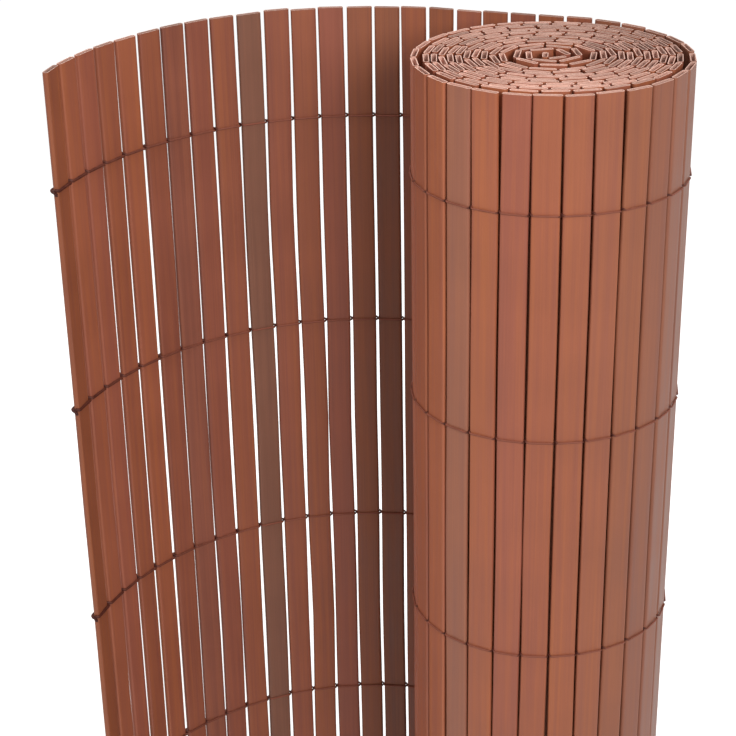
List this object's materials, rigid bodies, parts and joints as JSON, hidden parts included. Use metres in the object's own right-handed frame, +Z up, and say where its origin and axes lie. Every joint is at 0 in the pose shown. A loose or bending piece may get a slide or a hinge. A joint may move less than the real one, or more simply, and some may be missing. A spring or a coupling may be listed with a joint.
{
  "type": "pvc privacy screen",
  "caption": "Partly unrolled garden privacy screen: upright hollow plastic slats bound side by side by woven wire, wound in an oval roll with a free curved tail.",
  "frame": {"origin": "middle of the footprint's bounding box, on the floor that the slats stand on", "axes": "+Z up along the slats, +X from the free tail towards the roll, -Y towards the hollow side of the tail"},
  "size_m": [0.3662, 0.181, 1],
  "materials": {
    "slat_plastic": "matte red-brown extruded PVC",
    "wire_coating": "dark brown coated steel wire"
  },
  "bodies": {
    "root": {"wound_turns": "slat_plastic", "slat_01": "slat_plastic", "slat_02": "slat_plastic", "slat_03": "slat_plastic", "slat_04": "slat_plastic", "slat_05": "slat_plastic", "slat_06": "slat_plastic", "slat_07": "slat_plastic", "slat_08": "slat_plastic", "slat_09": "slat_plastic", "slat_10": "slat_plastic", "slat_11": "slat_plastic", "slat_12": "slat_plastic", "slat_13": "slat_plastic", "slat_14": "slat_plastic", "slat_15": "slat_plastic", "slat_16": "slat_plastic", "slat_17": "slat_plastic", "slat_18": "slat_plastic", "slat_19": "slat_plastic", "slat_20": "slat_plastic", "slat_21": "slat_plastic", "slat_22": "slat_plastic", "binding_wire_1": "wire_coating", "binding_wire_2": "wire_coating", "binding_wire_3": "wire_coating", "binding_wire_4": "wire_coating", "binding_wire_5": "wire_coating", "binding_wire_6": "wire_coating", "binding_wire_7": "wire_coating"}
  },
  "joints": []
}
